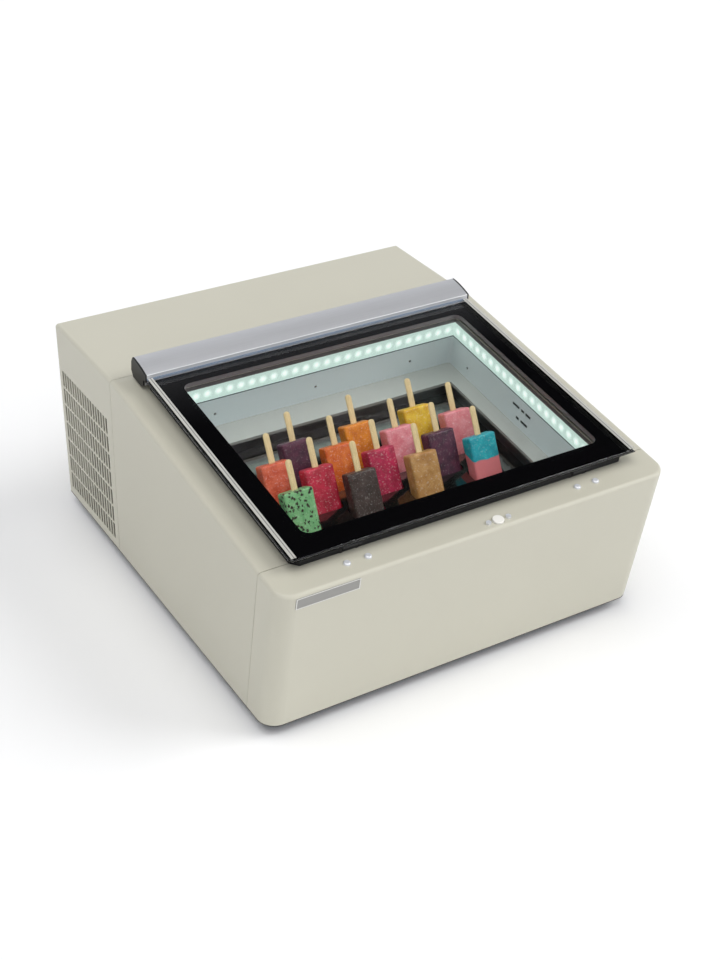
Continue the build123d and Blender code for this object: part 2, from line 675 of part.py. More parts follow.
for number, (x, s) in enumerate(pop_places(), start=1):
    across = pop_plane(x, s)
    with BuildPart() as ice_pop:
        with BuildSketch(across.offset(-POP_H)):
            RectangleRounded(POP_W - 2, POP_T - 2, 5)
        with BuildSketch(across):
            RectangleRounded(POP_W, POP_T, 6)
        loft()
        ends = ice_pop.faces().filter_by(across)
        fillet(ends.edges(), radius=3.5)
        with BuildSketch(across.offset(-STICK_IN)):
            Rectangle(STICK_W + 0.2, STICK_T + 0.2)
        extrude(amount=STICK_IN, mode=Mode.SUBTRACT)
    ice_pop.part.label = f"ice_pop_{number:02d}"
    export_step(ice_pop.part, f"parts/ice_pop_{number:02d}.step")

with BuildPart() as pop_sticks:
    for x, s in pop_places():
        with BuildSketch(pop_plane(x, s).offset(0.5 - STICK_IN)):
            Rectangle(STICK_W, STICK_T)
        extrude(amount=STICK_IN + STICK_OUT - 0.5)
    tips = pop_sticks.edges().filter_by(lambda edge: abs(edge.length - STICK_T) < 0.01)
    fillet(tips, radius=STICK_W / 2 - 0.6)
pop_sticks.part.label = "pop_sticks"
export_step(pop_sticks.part, "parts/pop_sticks.step")

# ---------------------------------------------------------------- cold side
# Foam round the liner and the tub, with room for the light boards and the coil.
FOAM = 25.0
FOAM_TOP = -13.0
COIL_R = 4.0
COIL_N = TUB_FLOOR - SHEET - COIL_R - 0.5
with BuildPart() as insulation:
    with BuildSketch(level(LEDGE_N - SHEET - FIT)):
        panel(-WELL_X - 33, WELL_X + 33, WELL_NEAR - 28, WELL_FAR + 31, 10)
        panel(-WELL_X - 8, WELL_X + 8, WELL_NEAR - 4, WELL_FAR + 8, mode=Mode.SUBTRACT)
    extrude(amount=FOAM_TOP - LEDGE_N + SHEET + FIT)
    with BuildSketch(level(COIL_N - COIL_R - 1 - FOAM)):
        panel(-TUB_X - 2 - FOAM, TUB_X + 2 + FOAM, TUB_NEAR - 2 - FOAM, TUB_FAR + 2 + FOAM, 10)
    extrude(amount=LEDGE_N - SHEET - FIT - (COIL_N - COIL_R - 1 - FOAM))
    with BuildSketch(level(LEDGE_N - SHEET - FIT - 12)):
        panel(-WELL_X - 33, WELL_X + 33, WELL_NEAR - 28, WELL_FAR + 31, 10)
    extrude(amount=12)
    with BuildSketch(level(COIL_N - COIL_R - 1)):
        panel(-TUB_X - 2, TUB_X + 2, TUB_NEAR - 2, TUB_FAR + 2, 8)
    extrude(amount=TOP_Z, mode=Mode.SUBTRACT)
insulation.part.label = "insulation"
export_step(insulation.part, "parts/insulation.step")

COIL_X = 185.0
COIL_PITCH = 32.0
COIL_RUNS = 9
COIL_NEAR = 124.0
coil_points = []
for run in range(COIL_RUNS):
    ends_x = (-COIL_X, COIL_X) if run % 2 == 0 else (COIL_X, -COIL_X)
    for end_x in ends_x:
        coil_points.append(DECK.from_local_coords((end_x, COIL_NEAR + run * COIL_PITCH, COIL_N)))
with BuildPart() as evaporator_coil:
    with BuildLine() as coil_path:
        FilletPolyline(*coil_points, radius=COIL_PITCH / 2 - 1)
    with BuildSketch(Plane(origin=coil_path.line @ 0, z_dir=coil_path.line % 0)):
        Circle(COIL_R)
        Circle(COIL_R - 0.8, mode=Mode.SUBTRACT)
    sweep()
evaporator_coil.part.label = "evaporator_coil"
export_step(evaporator_coil.part, "parts/evaporator_coil.step")

# ---------------------------------------------------------------- machine room
# Hermetic compressor: a domed steel can on a foot plate, with its motor inside.
COMPRESSOR_X = 150.0
CAN_R = 62.0
CAN_H = 150.0
CAN_WALL = 3.5
CAN_FOOT = PAN_FLOOR + 10
with BuildPart() as compressor:
    with BuildSketch(Plane.XY.offset(PAN_FLOOR)):
        with Locations((COMPRESSOR_X, ROOM_Y)):
            RectangleRounded(150, 110, 12)
            with GridLocations(120, 84, 2, 2):
                Circle(5, mode=Mode.SUBTRACT)
    extrude(amount=4)
    with BuildSketch(Plane.XY.offset(PAN_FLOOR + 4)):
        with Locations((COMPRESSOR_X, ROOM_Y)):
            Circle(CAN_R - 16)
    extrude(amount=6)
    with BuildSketch(Plane.XY.offset(CAN_FOOT)):
        with Locations((COMPRESSOR_X, ROOM_Y)):
            Circle(CAN_R)
    extrude(amount=CAN_H)
    rims = compressor.edges().filter_by(lambda edge: abs(edge.length - 2 * math.pi * CAN_R) < 1)
    rims = rims.filter_by(GeomType.CIRCLE)
    fillet(rims, radius=14)
    with BuildSketch(Plane.XY.offset(CAN_FOOT + CAN_WALL)):
        with Locations((COMPRESSOR_X, ROOM_Y)):
            Circle(CAN_R - CAN_WALL - 6)
    extrude(amount=CAN_H - 2 * CAN_WALL - 8, mode=Mode.SUBTRACT)
    with BuildSketch(Plane.XY.offset(CAN_FOOT + 25)):
        with Locations((COMPRESSOR_X, ROOM_Y)):
            Circle(42)
    extrude(amount=85)
compressor.part.label = "compressor"
export_step(compressor.part, "parts/compressor.step")

# Finned condenser behind the slots of the left side, with a fan that draws air through it.
CONDENSER_X = -256.0
CONDENSER_H = 180.0
CONDENSER_W = 136.0
CONDENSER_MIDDLE_Z = PAN_FLOOR + CONDENSER_H / 2
FIN_PITCH = 6.0
with BuildPart() as condenser:
    with BuildSketch(Plane.XZ.offset(-ROOM_Y)):
        with Locations((CONDENSER_X, CONDENSER_MIDDLE_Z)):
            Rectangle(36, CONDENSER_H)
    extrude(amount=0.5, both=True)
    for step in range(1, 11):
        for side in (-1, 1):
            with BuildSketch(Plane.XZ.offset(-ROOM_Y - side * step * FIN_PITCH)):
                with Locations((CONDENSER_X, CONDENSER_MIDDLE_Z)):
                    Rectangle(36, CONDENSER_H)
            extrude(amount=0.5, both=True)
    with BuildSketch(Plane.XZ.offset(-ROOM_Y)):
        with Locations((CONDENSER_X, CONDENSER_MIDDLE_Z)):
            with GridLocations(18, 30, 2, 6):
                Circle(4)
    extrude(amount=CONDENSER_W / 2, both=True)
condenser.part.label = "condenser"
export_step(condenser.part, "parts/condenser.step")

FAN_X = -212.0
FAN_R = 62.0
FAN_Z = CONDENSER_MIDDLE_Z
with BuildPart() as fan_shroud:
    with BuildSketch(Plane.YZ.offset(CONDENSER_X + 20)):
        with Locations((ROOM_Y, FAN_Z)):
            Rectangle(CONDENSER_W, CONDENSER_H)
            Circle(FAN_R + 4, mode=Mode.SUBTRACT)
    extrude(amount=2)
    with BuildSketch(Plane.YZ.offset(CONDENSER_X + 20)):
        with Locations((ROOM_Y, FAN_Z)):
            Circle(FAN_R + 6)
            Circle(FAN_R + 4, mode=Mode.SUBTRACT)
    extrude(amount=34)
fan_shroud.part.label = "fan_shroud"
export_step(fan_shroud.part, "parts/fan_shroud.step")

SHAFT_R = 3.0
with BuildPart() as fan_rotor:
    with BuildSketch(Plane.YZ.offset(FAN_X - 12)):
        with Locations((ROOM_Y, FAN_Z)):
            Circle(19)
    extrude(amount=24)
    for blade in range(5):
        turn = blade * 72
        blade_plane = Plane(origin=(FAN_X, ROOM_Y, FAN_Z), x_dir=(1, 0, 0),
                            z_dir=(0, math.cos(math.radians(turn)), math.sin(math.radians(turn))))
        with BuildSketch(blade_plane.offset(16)):
            Rectangle(3, 22, rotation=55)
        with BuildSketch(blade_plane.offset(FAN_R - 3)):
            Rectangle(2, 40, rotation=62)
        loft()
    with BuildSketch(Plane.YZ.offset(FAN_X + 12)):
        with Locations((ROOM_Y, FAN_Z)):
            Circle(SHAFT_R)
    extrude(amount=20)
fan_rotor.part.label = "fan_rotor"
export_step(fan_rotor.part, "parts/fan_rotor.step")

MOTOR_X = FAN_X + 17
with BuildPart() as fan_motor:
    with BuildSketch(Plane.YZ.offset(MOTOR_X)):
        with Locations((ROOM_Y, FAN_Z)):
            Circle(28)
            Circle(SHAFT_R + 0.06, mode=Mode.SUBTRACT)
    extrude(amount=18)
    with BuildSketch(Plane.YZ.offset(MOTOR_X + 18)):
        with Locations((ROOM_Y, FAN_Z)):
            Circle(28)
    extrude(amount=26)
    with BuildSketch(Plane.YZ.offset(MOTOR_X + 20)):
        panel(ROOM_Y - 20, ROOM_Y + 20, PAN_FLOOR, FAN_Z - 20)
    extrude(amount=3)
    with BuildSketch(Plane.XY.offset(PAN_FLOOR)):
        panel(MOTOR_X + 20, MOTOR_X + 60, ROOM_Y - 20, ROOM_Y + 20)
    extrude(amount=2)
fan_motor.part.label = "fan_motor"
export_step(fan_motor.part, "parts/fan_motor.step")

# Copper lines: one to the condenser, one from the coil back to the compressor.
PIPE_R = 3.2
CAN_TOP = CAN_FOOT + CAN_H
pipe_routes = [
    [(COMPRESSOR_X - 30, ROOM_Y - 10, CAN_TOP), (COMPRESSOR_X - 30, ROOM_Y - 10, 215),
     (CONDENSER_X, ROOM_Y - 10, 215), (CONDENSER_X, ROOM_Y - 10, PAN_FLOOR + CONDENSER_H)],
    [(COMPRESSOR_X + 25, ROOM_Y + 15, CAN_TOP), (COMPRESSOR_X + 25, ROOM_Y + 15, 240),
     (COMPRESSOR_X + 25, 160, 240)],
]
with BuildPart() as refrigerant_pipes:
    for route in pipe_routes:
        with BuildLine() as pipe_path:
            FilletPolyline(*route, radius=14)
        with BuildSketch(Plane(origin=pipe_path.line @ 0, z_dir=pipe_path.line % 0)):
            Circle(PIPE_R)
        sweep(path=pipe_path.line)
refrigerant_pipes.part.label = "refrigerant_pipes"
export_step(refrigerant_pipes.part, "parts/refrigerant_pipes.step")

# ---------------------------------------------------------------- rear controls
REAR_FACE = REAR_PANEL_Y + SHEET
KEY_OFFSETS = (20.0, 31.0)
with BuildPart() as controller_case:
    with BuildSketch(Plane.XZ.offset(-REAR_FACE)):
        with Locations((CONTROL_X, CONTROL_Z)):
            RectangleRounded(77, 35, 3)
    extrude(amount=-2.6)
    with BuildSketch(Plane.XZ.offset(-REAR_FACE)):
        with Locations((CONTROL_X, CONTROL_Z)):
            Rectangle(71, 29)
    extrude(amount=48)
    with BuildSketch(Plane.XZ.offset(-REAR_FACE + 2)):
        for key_offset in KEY_OFFSETS:
            with Locations((CONTROL_X - key_offset, CONTROL_Z)):
                Rectangle(9, 13)
    extrude(amount=-6, mode=Mode.SUBTRACT)
controller_case.part.label = "controller_case"
export_step(controller_case.part, "parts/controller_case.step")

for key_name, key_offset in zip(("key_set", "key_light"), KEY_OFFSETS):
    with BuildPart() as controller_key:
        with BuildSketch(Plane.XZ.offset(-REAR_FACE + 0.6)):
            with Locations((CONTROL_X - key_offset, CONTROL_Z)):
                RectangleRounded(8.2, 12.2, 1.2)
        extrude(amount=-4.0)
    controller_key.part.label = key_name
    export_step(controller_key.part, f"parts/{key_name}.step")

with BuildPart() as switch_frame:
    with BuildSketch(Plane.XZ.offset(-REAR_FACE)):
        with Locations((SWITCH_X, SWITCH_Z)):
            RectangleRounded(31, 16, 1.5)
            Rectangle(21, 9, mode=Mode.SUBTRACT)
    extrude(amount=-1.8)
    with BuildSketch(Plane.XZ.offset(-REAR_FACE)):
        with Locations((SWITCH_X, SWITCH_Z)):
            Rectangle(28, 13)
            Rectangle(21, 9, mode=Mode.SUBTRACT)
    extrude(amount=12)
    with BuildSketch(Plane.XZ.offset(-REAR_FACE + 12)):
        with Locations((SWITCH_X, SWITCH_Z)):
            Rectangle(28, 13)
    extrude(amount=8)
switch_frame.part.label = "switch_frame"
export_step(switch_frame.part, "parts/switch_frame.step")

# The rocker turns on a short axle in the middle of its frame.
ROCKER_Y = REAR_FACE - 3.0
with BuildPart() as power_rocker:
    with BuildSketch(Plane.XY.offset(SWITCH_Z - 4.1)):
        with BuildLine():
            Polyline((SWITCH_X - 9.6, ROCKER_Y - 1.5), (SWITCH_X - 9.6, ROCKER_Y + 4.6),
                     (SWITCH_X, ROCKER_Y + 2.8), (SWITCH_X + 9.6, ROCKER_Y + 4.6),
                     (SWITCH_X + 9.6, ROCKER_Y - 1.5), (SWITCH_X, ROCKER_Y - 4.0), close=True)
        make_face()
    extrude(amount=8.2)
power_rocker.part.label = "power_rocker"
export_step(power_rocker.part, "parts/power_rocker.step")

with BuildPart() as power_inlet:
    with BuildSketch(Plane.XZ.offset(-REAR_FACE)):
        with Locations((INLET_X, INLET_Z)):
            RectangleRounded(48, 24, 3)
    extrude(amount=-2.2)
    with BuildSketch(Plane.XZ.offset(-REAR_FACE)):
        with Locations((INLET_X, INLET_Z)):
            Rectangle(28, 20.2)
    extrude(amount=24)
    with BuildSketch(Plane.XZ.offset(-REAR_FACE - 3)):
        with Locations((INLET_X, INLET_Z)):
            RectangleRounded(24.5, 17, 3)
            with Locations((0, 2), (-7, -2), (7, -2)):
                Rectangle(2, 6, mode=Mode.SUBTRACT)
    extrude(amount=19, mode=Mode.SUBTRACT)
power_inlet.part.label = "power_inlet"
export_step(power_inlet.part, "parts/power_inlet.step")
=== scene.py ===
"""A countertop display freezer for ice pops: sloping steel cabinet, lit well, hinged glass lid."""

import math

import bmesh
import bpy
from mathutils import Matrix, Vector, noise


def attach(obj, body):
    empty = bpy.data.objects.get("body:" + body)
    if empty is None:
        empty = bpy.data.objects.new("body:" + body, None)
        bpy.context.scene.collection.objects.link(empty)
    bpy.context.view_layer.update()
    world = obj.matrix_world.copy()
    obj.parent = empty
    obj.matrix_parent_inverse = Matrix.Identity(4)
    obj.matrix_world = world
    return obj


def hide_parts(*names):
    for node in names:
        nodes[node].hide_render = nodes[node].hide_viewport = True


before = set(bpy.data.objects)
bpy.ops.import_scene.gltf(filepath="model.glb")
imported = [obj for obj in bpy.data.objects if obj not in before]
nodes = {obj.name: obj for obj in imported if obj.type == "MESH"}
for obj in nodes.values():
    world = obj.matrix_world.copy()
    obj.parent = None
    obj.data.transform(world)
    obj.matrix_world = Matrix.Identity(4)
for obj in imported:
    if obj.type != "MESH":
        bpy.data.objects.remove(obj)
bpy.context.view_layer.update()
scene = bpy.context.scene

# ---------------------------------------------------------------- camera
# A long lens that looks down on the freezer from the front left, as a person at the counter
# would see it. The camera is held level but for a degree of roll.
camera_data = bpy.data.cameras.new("camera")
camera_data.sensor_fit = "VERTICAL"
camera_data.sensor_height = 36.0
camera_data.lens = 58.67
camera = bpy.data.objects.new("camera", camera_data)
scene.collection.objects.link(camera)
heading, pitch, roll = math.radians(-31.74), math.radians(32.33), math.radians(1.313)
camera_back = Vector((math.sin(heading) * math.cos(pitch), -math.cos(heading) * math.cos(pitch),
                      math.sin(pitch)))
level_right = Vector((math.cos(heading), math.sin(heading), 0.0))
level_up = camera_back.cross(level_right)
camera_right = level_right * math.cos(roll) + level_up * math.sin(roll)
camera_up = level_up * math.cos(roll) - level_right * math.sin(roll)
turn = Matrix((camera_right, camera_up, camera_back)).transposed().to_4x4()
camera_at = (-1.0047, -1.6608, 1.3662)
camera.matrix_world = Matrix.Translation(camera_at) @ turn
scene.camera = camera


# ---------------------------------------------------------------- studio
# A white table that runs out of sight under two soft lamps, one overhead and one from the
# right. Low down in front and behind it has pale walls; above and to the sides it is dark,
# which keeps the glass black.
def rgb(code):
    """An sRGB hex colour as linear red, green, blue and alpha."""
    values = [int(code[i:i + 2], 16) / 255 for i in (1, 3, 5)]
    return tuple(v / 12.92 if v <= 0.04045 else ((v + 0.055) / 1.055) ** 2.4 for v in values) + (1.0,)


def add_node(tree, kind, inputs, **settings):
    """Adds a node. settings are its attributes, inputs are values for its sockets or sockets to link."""
    node = tree.nodes.new(kind)
    for name, value in settings.items():
        setattr(node, name, value)
    for name, value in inputs.items():
        if isinstance(value, bpy.types.NodeSocket):
            tree.links.new(value, node.inputs[name])
        else:
            node.inputs[name].default_value = value
    return node


def new_material(name, **sockets):
    """A material with one Principled shader, with constant sockets given by name."""
    material = bpy.data.materials.new(name)
    material.use_nodes = True
    shader = material.node_tree.nodes["Principled BSDF"]
    for socket, value in sockets.items():
        shader.inputs[socket.replace("_", " ")].default_value = value
    return material, material.node_tree, shader


def soft_lamp(name, towards, spread, strength):
    """A far soft lamp in a direction. spread is how wide it looks, in degrees."""
    data = bpy.data.lights.new(name, "SUN")
    data.angle = math.radians(spread)
    data.energy = strength
    lamp = bpy.data.objects.new(name, data)
    scene.collection.objects.link(lamp)
    lamp.matrix_world = Vector(towards).to_track_quat("Z", "Y").to_matrix().to_4x4()


soft_lamp("overhead", (-0.26, -0.12, 1.0), 62, 1.78)
soft_lamp("right_side", (0.66, -0.36, 0.66), 34, 1.45)

floor_mesh = bpy.data.meshes.new("table_top")
reach = 14.0
floor_mesh.from_pydata([(-reach, -reach, 0), (reach, -reach, 0), (reach, reach, 0), (-reach, reach, 0)],
                       [], [(0, 1, 2, 3)])
table_top = bpy.data.objects.new("table_top", floor_mesh)
scene.collection.objects.link(table_top)
white_table, tree, shader = new_material("white_table", Roughness=0.7, Specular_IOR_Level=0.2)
grain = add_node(tree, "ShaderNodeTexNoise", {"Scale": 3.0})
shade = add_node(tree, "ShaderNodeMix", {"Factor": grain.outputs["Fac"], "A": rgb("#F9F9F9"),
                                         "B": rgb("#FBFBFB")}, data_type="RGBA")
tree.links.new(shade.outputs[2], shader.inputs["Base Color"])
floor_mesh.materials.append(white_table)

world = bpy.data.worlds.new("studio")
world.use_nodes = True
scene.world = world
tree = world.node_tree
direction = add_node(tree, "ShaderNodeTexCoord", {})
split = add_node(tree, "ShaderNodeSeparateXYZ", {"Vector": direction.outputs["Generated"]})
depth = add_node(tree, "ShaderNodeMath", {0: split.outputs["Y"]}, operation="ABSOLUTE")
rise = add_node(tree, "ShaderNodeMath", {0: split.outputs["Z"], 1: depth.outputs[0]}, operation="SUBTRACT")
wall_light = add_node(tree, "ShaderNodeMapRange", {"Value": rise.outputs[0], "From Min": -0.12,
                                                   "From Max": 0.06, "To Min": 0.92, "To Max": 0.01},
                      interpolation_type="SMOOTHSTEP")
tree.nodes["Background"].inputs["Color"].default_value = rgb("#F7F9FF")
tree.links.new(wall_light.outputs["Result"], tree.nodes["Background"].inputs["Strength"])
scene.view_settings.view_transform = "Standard"


# ---------------------------------------------------------------- painted panels
# Folded steel sheet with a warm white powder coat: a hard semi-gloss skin with a fine
# orange-peel. The grain of the coat is about a millimetre across.
def put_on(material, *names):
    """Gives CAD pieces their material."""
    for name in names:
        mesh = nodes[name].data
        mesh.materials.clear()
        mesh.materials.append(material)


def powder_coat(name, code, roughness, grain_mm=1.1, depth_mm=0.02):
    """Powder-coated steel: faint mottling and an orange-peel relief."""
    material, tree, shader = new_material(name, Roughness=roughness)
    place = add_node(tree, "ShaderNodeTexCoord", {})
    peel = add_node(tree, "ShaderNodeTexNoise", {"Vector": place.outputs["Object"],
                                                 "Scale": 1000 / grain_mm / 2, "Detail": 2.0})
    cloud = add_node(tree, "ShaderNodeTexNoise", {"Vector": place.outputs["Object"], "Scale": 9.0,
                                                  "Detail": 2.0})
    tint = add_node(tree, "ShaderNodeHueSaturation", {"Color": rgb(code)})
    spread = add_node(tree, "ShaderNodeMapRange", {"Value": cloud.outputs["Fac"], "To Min": 0.98,
                                                   "To Max": 1.02})
    tree.links.new(spread.outputs["Result"], tint.inputs["Value"])
    relief = add_node(tree, "ShaderNodeBump", {"Height": peel.outputs["Fac"], "Distance": depth_mm / 1000,
                                               "Strength": 0.6})
    tree.links.new(tint.outputs["Color"], shader.inputs["Base Color"])
    tree.links.new(relief.outputs["Normal"], shader.inputs["Normal"])
    return material


cream_coat = powder_coat("cream_powder_coat", "#C4C1B1", 0.44)
put_on(cream_coat, "front_panel", "cabinet_wrap", "rear_cover", "rear_panel")
put_on(powder_coat("black_powder_coat", "#1B1B1C", 0.5), "base_pan", "fan_shroud", "compressor",
       "hinge_bases", "hinge_blocks", "hinge_pins")

# The dimensions of the sloping deck: x across, s up the slope from the front fold, n out of it.
deck_run, deck_rise = 0.4833, 0.0615
deck_tilt = math.atan2(deck_rise, deck_run)
along_s = Vector((0, math.cos(deck_tilt), math.sin(deck_tilt)))
along_n = Vector((0, -math.sin(deck_tilt), math.cos(deck_tilt)))
deck_start = Vector((0, -0.347, 0.2505))


def on_deck(x, s, n):
    """A place given in millimetres in the deck's frame, as a point in metres."""
    return deck_start + Vector((x / 1000, 0, 0)) + along_s * (s / 1000) + along_n * (n / 1000)


def add_piece(name, mesh, material, body, smooth_angle=35, replaces=()):
    """Adds a finished mesh as a piece that rides on a body."""
    mesh.validate()
    if not mesh.materials:
        mesh.materials.append(material)
    piece = bpy.data.objects.new(name, mesh)
    scene.collection.objects.link(piece)
    mesh.shade_smooth()
    mesh.set_sharp_from_angle(angle=math.radians(smooth_angle))
    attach(piece, body)
    if replaces:
        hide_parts(*replaces)
    return piece


def swept(name, rings, closed_path=False, capped=True):
    """A mesh through a row of equal rings of points."""
    points = [p for ring in rings for p in ring]
    size = len(rings[0])
    faces = []
    steps = len(rings) if closed_path else len(rings) - 1
    for i in range(steps):
        j = (i + 1) % len(rings)
        for k in range(size):
            m = (k + 1) % size
            faces.append((i * size + k, i * size + m, j * size + m, j * size + k))
    if capped and not closed_path:
        faces.append(tuple(range(size))[::-1])
        faces.append(tuple(range((len(rings) - 1) * size, len(rings) * size)))
    mesh = bpy.data.meshes.new(name)
    mesh.from_pydata([tuple(p) for p in points], [], faces)
    tidy = bmesh.new()
    tidy.from_mesh(mesh)
    bmesh.ops.recalc_face_normals(tidy, faces=tidy.faces)
    tidy.to_mesh(mesh)
    tidy.free()
    return mesh


# ---------------------------------------------------------------- lid glass
# Two panes of clear float glass. A black enamel border is fired on the underside of the outer
# one, and shows through it as deep gloss black.
def clear_glass(name):
    """Thin clear glass: see-through, with mirror reflections that grow at a glancing angle."""
    material, tree, shader = new_material(name, Metallic=1.0, Roughness=0.01)
    shader.inputs["Base Color"].default_value = rgb("#FFFFFF")
    through = add_node(tree, "ShaderNodeBsdfTransparent", {"Color": rgb("#FFFFFF")})
    facing = add_node(tree, "ShaderNodeLayerWeight", {"Blend": 0.5})
    steep = add_node(tree, "ShaderNodeMath", {0: facing.outputs["Facing"], 1: 5.0}, operation="POWER")
    gloss = add_node(tree, "ShaderNodeMath", {0: steep.outputs[0], 1: 0.96, 2: 0.035},
                     operation="MULTIPLY_ADD")
    both = add_node(tree, "ShaderNodeMixShader", {0: gloss.outputs[0], 1: through.outputs["BSDF"],
                                                  2: shader.outputs["BSDF"]})
    tree.links.new(both.outputs["Shader"], tree.nodes["Material Output"].inputs["Surface"])
    return material


put_on(clear_glass("clear_float_glass"), "outer_glass", "inner_glass")

enamel, tree, shader = new_material("black_enamel", Roughness=0.35, Specular_IOR_Level=0.0)
dust = add_node(tree, "ShaderNodeTexNoise", {"Scale": 400.0})
black = add_node(tree, "ShaderNodeMix", {"Factor": dust.outputs["Fac"], "A": rgb("#050506"),
                                         "B": rgb("#08080A")}, data_type="RGBA")
tree.links.new(black.outputs[2], shader.inputs["Base Color"])
put_on(enamel, "glass_border")

# The border goes on to the pane's rounded front edge as a narrow strip under the glass.
front_rim_x, front_rim_near, front_rim_far, front_rim_low, front_rim_top = 266.4, 36.9, 39.3, 17.7, 18.12
front_rim = [(front_rim_near, front_rim_top), (front_rim_far, front_rim_top), (front_rim_far, front_rim_low),
             (front_rim_near, front_rim_low)]
rings = [[on_deck(x, s, n) for s, n in front_rim] for x in (-front_rim_x, front_rim_x)]
add_piece("border_front_rim", swept("border_front_rim", rings), enamel, "lid")


# ---------------------------------------------------------------- lid frame, spacer and gasket
# Black extruded plastic frame, grey plastic for the spacer between the panes and the channel
# over the light strips, and a rubber bellows seal whose ribs show below the pane.
def moulded(name, code, roughness, grain_mm=0.5, depth_mm=0.02):
    """Moulded plastic or rubber with a fine even grain."""
    material, tree, shader = new_material(name, Roughness=roughness)
    place = add_node(tree, "ShaderNodeTexCoord", {})
    grit = add_node(tree, "ShaderNodeTexNoise", {"Vector": place.outputs["Object"],
                                                 "Scale": 1000 / grain_mm / 2, "Detail": 1.0})
    wear = add_node(tree, "ShaderNodeTexNoise", {"Vector": place.outputs["Object"], "Scale": 30.0})
    tint = add_node(tree, "ShaderNodeHueSaturation", {"Color": rgb(code)})
    spread = add_node(tree, "ShaderNodeMapRange", {"Value": wear.outputs["Fac"], "To Min": 0.9,
                                                   "To Max": 1.1})
    tree.links.new(spread.outputs["Result"], tint.inputs["Value"])
    relief = add_node(tree, "ShaderNodeBump", {"Height": grit.outputs["Fac"], "Distance": depth_mm / 1000,
                                               "Strength": 0.5})
    tree.links.new(tint.outputs["Color"], shader.inputs["Base Color"])
    tree.links.new(relief.outputs["Normal"], shader.inputs["Normal"])
    return material


black_plastic = moulded("black_abs", "#131314", 0.45)
put_on(black_plastic, "lid_frame", "handle_caps", "light_switch", "controller_case", "switch_frame",
       "power_rocker", "power_inlet", "fan_rotor")
put_on(moulded("grey_spacer", "#6E6868", 0.4), "spacer", "light_channel")
put_on(moulded("foot_rubber", "#0E0E0E", 0.8), "feet")
put_on(moulded("key_plastic", "#8C8E91", 0.5), "key_set", "key_light")
put_on(moulded("yellow_foam", "#E5D9A8", 0.9, 2.0, 0.3), "insulation")
put_on(moulded("white_board", "#D8DAD8", 0.5), "led_boards")
seal_rubber = moulded("seal_rubber", "#0C0C0D", 0.55)
put_on(seal_rubber, "gasket")

# The ribs stop short of the four notches where the hinge lugs pass.
skirt_x, skirt_near, skirt_far, corner_cut, rib_proud = 258.0, 45.6, 456.0, 10.0, 0.8
hinge_x, lug_offset, notch_half = 177.5, 11.5, 3.2
rib_heights, rib_high, rib_off = (1.4, 2.9, 4.4, 8.0, 12.0), 1.0, 0.15
notches = [side * hinge_x + lug for side in (-1, 1) for lug in (-lug_offset, lug_offset)]
front_ends = [-skirt_x + corner_cut + 0.5] + sorted(notches) + [skirt_x - corner_cut - 0.5]
rib_runs = []
for start, end in zip(front_ends, front_ends[1:]):
    gap_start = notch_half if start in notches else 0.0
    gap_end = notch_half if end in notches else 0.0
    rib_runs.append([(start + gap_start, skirt_near), (end - gap_end, skirt_near)])
for side in (-1, 1):
    rib_runs.append([(side * (skirt_x - corner_cut), skirt_near), (side * skirt_x, skirt_near + corner_cut),
                     (side * skirt_x, skirt_far - 1)])
rib_number = 0
for run in rib_runs:
    for height in rib_heights:
        rib_number += 1
        rings = []
        for x, s in run:
            ring = []
            for k in range(8):
                angle = 2 * math.pi * k / 8
                out = rib_off + rib_proud * 0.5 * math.cos(angle)
                x_out = math.copysign(out, x) if s > skirt_near + 1 else 0.0
                s_out = -out if s < skirt_near + 1 else 0.0
                ring.append(on_deck(x + x_out, s + s_out, height + rib_high * 0.5 * math.sin(angle)))
            rings.append(ring)
        name = f"skirt_rib_{rib_number:02d}"
        add_piece(name, swept(name, rings), seal_rubber, "lid", 60)


# ---------------------------------------------------------------- handle and side rails
# Satin anodised aluminium, drawn through a die: fine lines run along each piece. The side
# rails are bonded on the pane and have a narrow black insert in a groove.
def drawn_metal(name, code, roughness, stretch, line_mm=0.8, relief_mm=0.004, metallic=1.0):
    """Metal with fine drawing lines along one direction: stretch is small along the lines."""
    material, tree, shader = new_material(name, Metallic=metallic, Roughness=roughness)
    place = add_node(tree, "ShaderNodeTexCoord", {})
    scaled = add_node(tree, "ShaderNodeMapping", {"Vector": place.outputs["Object"], "Scale": stretch})
    lines = add_node(tree, "ShaderNodeTexNoise", {"Vector": scaled.outputs["Vector"],
                                                  "Scale": 1000 / line_mm / 2, "Detail": 3.0})
    tint = add_node(tree, "ShaderNodeHueSaturation", {"Color": rgb(code)})
    spread = add_node(tree, "ShaderNodeMapRange", {"Value": lines.outputs["Fac"], "To Min": 0.93,
                                                   "To Max": 1.05})
    rough = add_node(tree, "ShaderNodeMapRange", {"Value": lines.outputs["Fac"], "To Min": roughness * 0.85,
                                                  "To Max": roughness * 1.15})
    relief = add_node(tree, "ShaderNodeBump", {"Height": lines.outputs["Fac"], "Distance": relief_mm / 1000})
    tree.links.new(spread.outputs["Result"], tint.inputs["Value"])
    tree.links.new(tint.outputs["Color"], shader.inputs["Base Color"])
    tree.links.new(rough.outputs["Result"], shader.inputs["Roughness"])
    tree.links.new(relief.outputs["Normal"], shader.inputs["Normal"])
    return material


lines_along_x = (0.02, 1.0, 1.0)
lines_along_s = (1.0, 0.02, 1.0)
put_on(drawn_metal("satin_aluminium", "#D4D5D8", 0.40, lines_along_x, metallic=0.6), "handle")
rail_metal = drawn_metal("rail_aluminium", "#D2D1CA", 0.35, lines_along_s, metallic=0.3)

